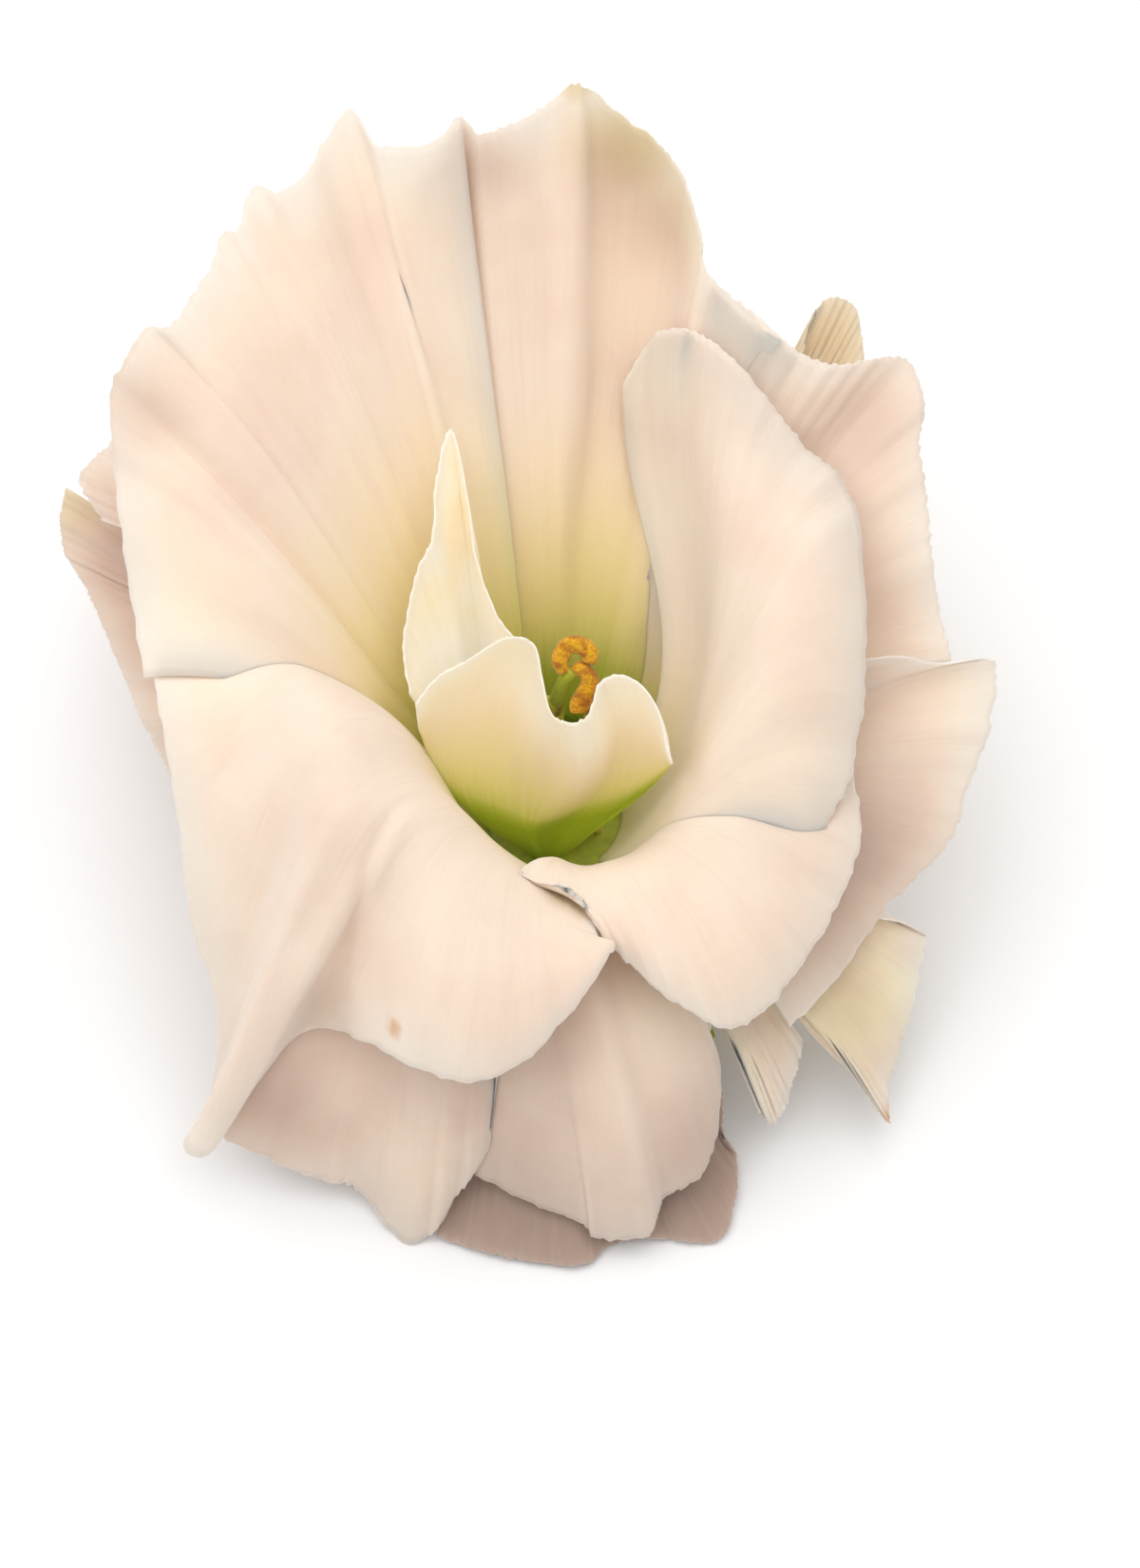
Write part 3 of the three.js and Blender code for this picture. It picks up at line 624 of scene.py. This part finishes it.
def grid_normals(grid):
    normals = np.cross(np.gradient(grid, axis=0), np.gradient(grid, axis=1))
    return normals / np.maximum(np.linalg.norm(normals, axis=2, keepdims=True), 1e-9)


def step_up(x, low, high):
    """0 below low, 1 above high, and smooth between."""
    s = np.clip((x - low) / (high - low), 0, 1)
    return s * s * (3 - 2 * s)


def arc(start, near, far, end, s):
    """Cubic curve from start to end, drawn towards near and then far."""
    return (1 - s) ** 3 * start + 3 * (1 - s) ** 2 * s * near + 3 * (1 - s) * s**2 * far + s**3 * end


def petal_ribs(petal, across, along):
    """A petal's ribs as curves from claw to rim, and their directions at the rim."""
    rim_rows = smooth_across(petal["rim"], across)
    rim = rim_rows[:, :3]
    azimuth = np.radians(petal["azimuth"] + across * petal["spread"])
    fanned = np.radians(petal["azimuth"] + across * petal["spread"] * petal["fan"])
    claw = (INNER_CLAW + LAYER_STEP * petal["layer"]) * heading(azimuth, 0 * across)
    claw[:, 2] = CLAW_FOOT
    outward = np.arctan2(rim[:, 1] - claw[:, 1], rim[:, 0] - claw[:, 0])
    first = heading(fanned, np.radians(linear_across(petal["rise"], across)))
    last = heading(outward, np.radians(rim_rows[:, 3]))
    belly = linear_across(petal["belly"], across)[:, None]
    flare = linear_across(petal["flare"], across)[:, None]
    way = along[:, :, None]
    if "crest" not in petal:
        span = lengths(rim - claw)
        return arc(claw, claw + first * span * belly, rim - last * span * flare, rim, way), last
    crest_rows = smooth_across(petal["crest"], across)
    crest = crest_rows[:, :3]
    over = heading(outward, np.radians(crest_rows[:, 3]))
    rising = lengths(crest - claw)
    falling = lengths(rim - crest)
    inside = arc(claw, claw + first * rising * belly, crest - over * rising * OVER, crest, 2 * way)
    outside = arc(
        crest, crest + over * falling * OVER, rim - last * falling * flare, rim, 2 * way - 1
    )
    return np.where(way < 0.5, inside, outside), last


def petal_relief(petal, across, along, seed):
    """How far a petal's waves, folds and tucks stand off its ribs, and its fringe along the rim."""
    share = (across + 1) / 2
    turn = 2 * np.pi
    waves = turn * petal["waves"] * share
    phase = turn * petal["phase"]
    wave = np.sin(waves + phase) + FINE_WAVE * np.sin(FINE_WAVES * waves + 2 * phase)
    relief = petal["ruffle"] * np.clip((along - RUFFLE_START) / (1 - RUFFLE_START), 0, 1) ** 2 * wave

    random = np.random.default_rng(seed)
    crinkle = fringe = 0 * across
    for k in CRINKLE_COUNTS:
        crinkle = crinkle + random.normal() / k**0.7 * np.sin(turn * (k * share + random.random()))
        fringe = fringe + random.normal() / 4 * np.sin(
            turn * (FRINGE_PITCH * k * share + random.random())
        )
    crinkle = petal.get("crinkle", CRINKLE) * step_up(along, CRINKLE_START, 1) ** 1.5 * crinkle
    relief = relief + crinkle

    for start_place, end_place, height, width, begin, end in petal.get("folds", []):
        line = start_place + (end_place - start_place) * along
        fade_in = step_up(along, begin, begin + FOLD_FADE)
        fade_out = 1 - step_up(along, end - FOLD_FADE, end)
        relief = relief + height * np.exp(-(((share - line) / width) ** 2)) * fade_in * fade_out

    fade = 1 - (1 - TUCK_LEFT) * step_up(along, TUCK_FADE, 1)
    for side, depth in zip((-1, 1), petal.get("tuck", [0, 0])):
        relief = relief - depth * step_up(side * across, TUCK_START, 1) * fade
    return relief, FRINGE * fringe * step_up(along, FRINGE_START, 1)


def petal_grid(petal, seed):
    """Middle surface of a petal, with each point's place along and across it."""
    across = np.linspace(-1, 1, COLUMNS + 1)
    along = np.linspace(0, 1, ROWS + 1)[:, None]
    grid, last = petal_ribs(petal, across, along)
    relief, fringe = petal_relief(petal, across, along, seed)
    grid = grid + grid_normals(grid) * relief[:, :, None] + last * fringe[:, :, None]
    return grid, np.broadcast_to(along, relief.shape), np.broadcast_to(across, relief.shape)


def closed_blade(grid, thickness):
    """Points and faces of a thin closed sheet round a grid of points."""
    normals = grid_normals(grid) * thickness[:, :, None] / 2
    points = np.vstack([(grid + normals).reshape(-1, 3), (grid - normals).reshape(-1, 3)])
    rows, columns = grid.shape[:2]
    index = np.arange(rows * columns).reshape(rows, columns)
    a, b, c, d = index[:-1, :-1], index[1:, :-1], index[1:, 1:], index[:-1, 1:]
    top = np.stack([a, b, c, d], -1).reshape(-1, 4)
    bottom = top[:, ::-1] + rows * columns
    edge = np.concatenate([index[0, :-1], index[:-1, -1], index[-1, :0:-1], index[:0:-1, 0]])
    after = np.roll(edge, -1)
    band = np.stack([edge, after, after + rows * columns, edge + rows * columns], -1)
    return points, np.vstack([top, bottom, band]).tolist()


def patch_mask(points, patches):
    """How strongly each point is in one of the round patches [x, y, z, size, strength]."""
    mask = np.zeros(len(points))
    for x, y, z, size, strength in patches:
        distance = np.linalg.norm(points - [x, y, z], axis=1)
        mask = np.maximum(mask, strength * (1 - step_up(distance, 0, size)))
    return mask


def make_petal(number, node, petal, slot, material):
    grid, along, across = petal_grid(petal, number)
    edge = np.maximum(step_up(along, THIN_RIM, 1), step_up(abs(across), THIN_MARGIN, 1))
    thickness = BLADE_MIDDLE + (BLADE_RIM - BLADE_MIDDLE) * edge
    points, faces = closed_blade(grid, thickness)
    along = np.concatenate([along.ravel()] * 2)
    values = {
        "along": along,
        "across": np.concatenate([across.ravel()] * 2),
        "throat": np.clip((along - petal.get("claw", 0)) / petal["green"], 0, 1.5),
        "seed": np.full(len(points), number * SEED_STEP),
    }
    for patch in PATCH_TONES:
        values[patch] = patch_mask(points, petal.get(patch, []))
    piece(node + "_blade", node, points, faces, material, values)


CREAM_PETAL = petal_look("cream_petal", CREAM, BLUSH)
BLUSH_PETAL = petal_look("blushing_petal", BLUSH, SHADOW_BLUSH)
GREENISH_PETAL = petal_look("greenish_petal", PALE_IVORY, BLUSH)
INNER_PETAL = petal_look("inner_petal", INNER_CREAM_AND_PAINTED_LIGHT, PALE_IVORY, PAINTED_GLOW_TISSUE)
SHADED_PETAL = petal_look("shaded_petal", SHADE, SHADE)

GREENISH = ("outer_petal_top_right", "outer_petal_pointed", "outer_petal_narrow")
# painted light: these two outer petals, dim on their outward slopes, take the lighter cream finish
# instead of the blushing one
PAINTED_LIGHT_OUTER = ("outer_petal_back_right", "outer_petal_right")


def petal_finish(node):
    """Slot and material of a petal."""
    if node in GREENISH:
        return "petal_greenish", GREENISH_PETAL
    # painted shade: the petal underneath the others is dark all over, for the shadow it lies in
    if node == "outer_petal_underneath":
        return "petal_blush", SHADED_PETAL
    if node.startswith("inner"):
        return "petal_cream", INNER_PETAL
    if node in PAINTED_LIGHT_OUTER:
        return "petal_blush", CREAM_PETAL
    if node.startswith("outer"):
        return "petal_blush", BLUSH_PETAL
    return "petal_cream", CREAM_PETAL


for number, (node, petal) in enumerate(PETALS.items()):
    make_petal(number, node, petal, *petal_finish(node))


# ---- calyx, stem, ovary, stigma and stamens ----
def skin(rings):
    """Closed surface over rings of points, all of one count, with a point at either end."""
    rings = np.asarray(rings, float)
    count, sides = rings.shape[:2]
    points = np.vstack([rings.reshape(-1, 3), rings[0].mean(0), rings[-1].mean(0)])
    index = np.arange(count * sides).reshape(count, sides)
    after = np.roll(index, -1, axis=1)
    band = np.stack([index[:-1], after[:-1], after[1:], index[1:]], -1).reshape(-1, 4).tolist()
    foot, top = count * sides, count * sides + 1
    caps = [(b, a, foot) for a, b in zip(index[0], after[0])]
    caps += [(a, b, top) for a, b in zip(index[-1], after[-1])]
    place = np.append(np.repeat(np.linspace(0, 1, count), sides), [0, 1])
    around = np.append(np.tile(np.linspace(-1, 1, sides), count), [0, 0])
    return points, band + caps, place, around


def join(parts):
    """Several closed surfaces as one set of points and faces."""
    points, faces, along, across = [], [], [], []
    for part_points, part_faces, part_along, part_across in parts:
        first = sum(len(p) for p in points)
        points.append(part_points)
        faces += [tuple(int(i) + first for i in face) for face in part_faces]
        along.append(part_along)
        across.append(part_across)
    return np.vstack(points), faces, np.concatenate(along), np.concatenate(across)


def small_part(name, node, parts, material):
    points, faces, along, across = join(parts)
    piece(name, node, points, faces, material, {"along": along, "across": across})


LEAST_RADIUS = 0.02


def turned(profile, rows, sides=64, lobes=0, depth=0.0):
    """A body turned about the flower's axis from [radius, height] rows, with lobes round it."""
    curve = smooth_across(profile, np.linspace(-1, 1, rows))
    angle = np.linspace(0, 2 * np.pi, sides, endpoint=False)
    waist = 1 + depth * np.cos(lobes * angle)
    rings = []
    for radius, z in curve:
        r = max(radius, LEAST_RADIUS) * waist
        rings.append(np.stack([r * np.cos(angle), r * np.sin(angle), z + 0 * angle], -1))
    return skin(rings)


ROD_ROUNDING = 0.9  # share of a rod's half length beyond which its end rounds off
ROUNDED_OFF = 1.001  # where the rounding would reach its point, a little past the end
PAST_RODS = [0.3, 1.0, 0.2]  # a direction in which no rod runs


def rod(points, radii, rows, sides=20, flat=1.0):
    """A rounded rod along a smooth curve. flat: its thickness as a share of its width."""
    place = np.linspace(-1, 1, rows)
    path = smooth_across(points, place)
    radius = linear_across(radii, place)
    near_end = np.clip((abs(place) - ROD_ROUNDING) / (ROUNDED_OFF - ROD_ROUNDING), 0, 1)
    rounding = np.sqrt(1 - near_end**2)
    ahead = np.gradient(path, axis=0)
    ahead /= np.linalg.norm(ahead, axis=1, keepdims=True)
    side = np.cross(ahead, PAST_RODS)
    side /= np.linalg.norm(side, axis=1, keepdims=True)
    other = np.cross(ahead, side)
    angle = np.linspace(0, 2 * np.pi, sides, endpoint=False)[None, :, None]
    ring = side[:, None] * np.cos(angle) + flat * other[:, None] * np.sin(angle)
    return skin(path[:, None] + ring * (radius * rounding)[:, None, None])


CUP_PROFILE = [
    [0.1, 3.3], [2.6, 3.3], [4.8, 3.9], [7, 4.4], [9, 4.9], [9.8, 5.3], [9.7, 5.8], [8, 5.9],
    [5, 6.1], [3, 6.4], [0.1, 6.5],
]
SEPALS = 5
SEPAL_TURN = 18  # azimuth of the first sepal, degrees
SEPAL_PATH = [[4.4, 4.7], [8, 4.1], [11.5, 2.9], [14.2, 1.6], [16, 1.1], [17.4, 1.1]]
SEPAL_WIDTH = 2.6
SEPAL_KEEL = 0.45  # how far its margins stand above its midrib
SEPAL_THICKNESS = 0.5
SEPAL_THINNING = 0.6  # how much thinner its margins are, as a share
SEPAL_TAPER = 0.62  # how much narrower it grows towards its tip, as a share
SEPAL_TIP = 0.3  # what is left at the tip of the width that its end rounds off


def sepal(azimuth):
    across = np.linspace(-1, 1, 13)
    line = smooth_across(SEPAL_PATH, np.linspace(-1, 1, 40))
    along = np.linspace(0, 1, len(line))
    rounded = SEPAL_TIP + (1 - SEPAL_TIP) * np.sqrt(1 - along**3)
    half = SEPAL_WIDTH / 2 * rounded * (1 - SEPAL_TAPER * along)
    out = np.array([math.cos(azimuth), math.sin(azimuth)])
    aside = np.array([-math.sin(azimuth), math.cos(azimuth)])
    flat = line[:, :1, None] * out + (half[:, None] * across)[:, :, None] * aside
    height = line[:, 1:] + SEPAL_KEEL * abs(across)
    grid = np.concatenate([flat, height[:, :, None]], axis=2)
    thickness = SEPAL_THICKNESS * (1 - SEPAL_THINNING * np.broadcast_to(across**2, height.shape))
    points, faces = closed_blade(grid, thickness)
    places = [np.broadcast_to(p, height.shape).ravel() for p in (along[:, None], across)]
    return points, faces, *(np.concatenate([p, p]) for p in places)


CALYX_LOOK = green_look("calyx_green", DEEP_GREEN, CALYX_GREEN, LEAF_GREEN)
sepals = [sepal(math.radians(SEPAL_TURN + 360 * k / SEPALS)) for k in range(SEPALS)]
small_part(
    "calyx_cup_and_sepals", "calyx", [turned(CUP_PROFILE, 90)] + sepals, CALYX_LOOK
)

STEM_PROFILE = [
    [0.1, 0.8], [1.2, 0.8], [1.5, 0.85], [1.6, 1.1], [1.65, 1.7], [1.8, 2.3], [2.2, 2.9],
    [2.3, 3.1], [0.1, 3.1],
]
small_part(
    "cut_stem", "stem_stub", [turned(STEM_PROFILE, 60, 48, 8, 0.02)],
    green_look("stem_green", CUT_GREEN, CALYX_GREEN),
)

OVARY_PROFILE = [
    [0.1, 6.2], [1.4, 6.3], [2, 8.5], [2.1, 10.3], [1.7, 12.5], [0.9, 14], [0.6, 15.2],
    [0.5, 17], [0.5, 19], [0.55, 20.6], [0.45, 21], [0.1, 21],
]
STYLE_TOP = [[0, 0, 19.5], [0.2, 0, 21.5], [0.7, 0.2, 23.4], [1.2, 0.4, 24.2]]
small_part(
    "furrowed_ovary_and_style", "ovary_and_style",
    [turned(OVARY_PROFILE, 90, 48, 2, 0.07), rod(STYLE_TOP, [0.5, 0.45], 24)],
    green_look("ovary_green", CALYX_GREEN, LEAF_GREEN, LEAF_GREEN),
)

STIGMA_LOBES = [
    [
        [0.6, 0.2, 23.9], [0.3, 0.8, 24.6], [0.8, 1.5, 25.1], [1.6, 1.6, 25.1], [2.2, 1.1, 24.9],
        [2.1, 0.5, 24.5],
    ],
    [
        [1.1, 0.6, 24.3], [2, 0.1, 24.1], [2.2, -0.3, 23.4], [1.9, -0.7, 22.8],
        [1.5, -1.2, 22.2], [1.5, -1.5, 21.9],
    ],
]
# Its hollows take the painted shade in red-brown.
small_part(
    "two_lobed_stigma", "stigma",
    [rod(lobe, [0.45, 0.6, 0.66, 0.66, 0.5], 40, 24, 0.9) for lobe in STIGMA_LOBES],
    grainy_look("stigma_orange", STIGMA_ORANGE, STIGMA_SHADE_RED, 5.0),
)

STAMENS = [[333, 13, -0.6], [12, 13.5, 0.5], [52, 13, 0.8], [94, 12.5, 0.5], [196, 13, -0.6]]
STAMEN_REACH = 3.1  # from the axis to its foot
STAMEN_BOW = 0.35  # share of its lean that it has half way up
FILAMENT_RADIUS = 0.28
FILAMENT_TAPER = 0.6  # radius at its top as a share of that at its foot
ANTHER_RADII = [0.3, 0.42, 0.42, 0.25]
ANTHER_SPREAD = 0.28  # from its middle to the middle of either half
ANTHER_CURVE = [(-0.4, 0.0), (0.6, 0.1), (1.7, 0.1), (2.7, 0.0)]  # height over the filament, bow
FILAMENT_LOOK = green_look("filament_green", LIME, PALE_LIME)
ANTHER_LOOK = grainy_look("pollen_yellow", POLLEN_YELLOW, DRY_BROWN, 7.0)


def stamen(number, azimuth, height, lean):
    """A filament with its anther, whose two halves lie side by side.

    height: of the filament's top. lean: how far out that top lies from its foot.
    """
    out = heading(math.radians(azimuth), 0.0)
    aside = np.array([-out[1], out[0], 0])
    foot = out * STAMEN_REACH + [0, 0, CUP_TOP + 0.3]
    top = out * (STAMEN_REACH + lean) + [0, 0, height]
    middle = out * (STAMEN_REACH + STAMEN_BOW * lean) + [0, 0, (CUP_TOP + height) / 2]
    name = "stamen_%d" % (number + 1)
    radii = [FILAMENT_RADIUS, FILAMENT_RADIUS * FILAMENT_TAPER]
    filament = rod([foot, middle, top], radii, 24, 12)
    small_part(name + "_filament", name, [filament], FILAMENT_LOOK)
    halves = []
    for side in (-1, 1):
        start = top + side * ANTHER_SPREAD * aside
        curve = [start + [0, 0, rise] + bow * out for rise, bow in ANTHER_CURVE]
        halves.append(rod(curve, ANTHER_RADII, 24, 14))
    small_part(name + "_anther", name, halves, ANTHER_LOOK)


for number, (azimuth, height, lean) in enumerate(STAMENS):
    stamen(number, azimuth, height, lean)


# ---- camera, light and floor ----
TARGET = Vector(AXIS_FOOT) + Vector((0.94, 0, 10.2)) * MM  # at the middle of the picture
VIEW_ELEVATION = math.radians(60)
VIEW_DISTANCE = 0.4
LENS = 140
camera_data = bpy.data.cameras.new("camera")
camera_data.lens = LENS
camera = bpy.data.objects.new("camera", camera_data)
camera.location = TARGET + VIEW_DISTANCE * Vector(
    (0, -math.cos(VIEW_ELEVATION), math.sin(VIEW_ELEVATION))
)
camera.rotation_euler = (math.pi / 2 - VIEW_ELEVATION, 0, 0)
bpy.context.scene.collection.objects.link(camera)
bpy.context.scene.camera = camera

KEY_PLACE = Vector((-0.08, 0.06, 0.6))
KEY_SIZE = 1.0
KEY_WATTS = 3.5
KEY_COLOUR = (1.0, 0.98, 0.965)
key_data = bpy.data.lights.new("key_light", "AREA")
key_data.shape = "DISK"
key_data.size = KEY_SIZE
key_data.energy = KEY_WATTS
key_data.color = KEY_COLOUR
key_light = bpy.data.objects.new("key_light", key_data)
key_light.location = KEY_PLACE
key_light.rotation_euler = (TARGET - KEY_PLACE).to_track_quat("-Z", "Y").to_euler()
bpy.context.scene.collection.objects.link(key_light)

STUDIO_COLOUR = (1.0, 0.985, 0.97, 1)
STUDIO_STRENGTH = 0.65
world = bpy.data.worlds.new("studio")
world.use_nodes = True
world.node_tree.nodes["Background"].inputs["Color"].default_value = STUDIO_COLOUR
world.node_tree.nodes["Background"].inputs["Strength"].default_value = STUDIO_STRENGTH
bpy.context.scene.world = world
bpy.context.scene.view_settings.view_transform = "Standard"

HALF_FLOOR = 1.5
floor_look = Look("pale_floor", {"Roughness": 0.8, "Base Color": (0.95, 0.96, 0.975, 1)})
floor_mesh = bpy.data.meshes.new("floor")
floor_mesh.from_pydata(
    [(x * HALF_FLOOR, y * HALF_FLOOR, 0) for x, y in ((-1, -1), (1, -1), (1, 1), (-1, 1))],
    [],
    [(0, 1, 2, 3)],
)
floor_mesh.materials.append(floor_look.material)
floor = bpy.data.objects.new("floor", floor_mesh)
bpy.context.scene.collection.objects.link(floor)
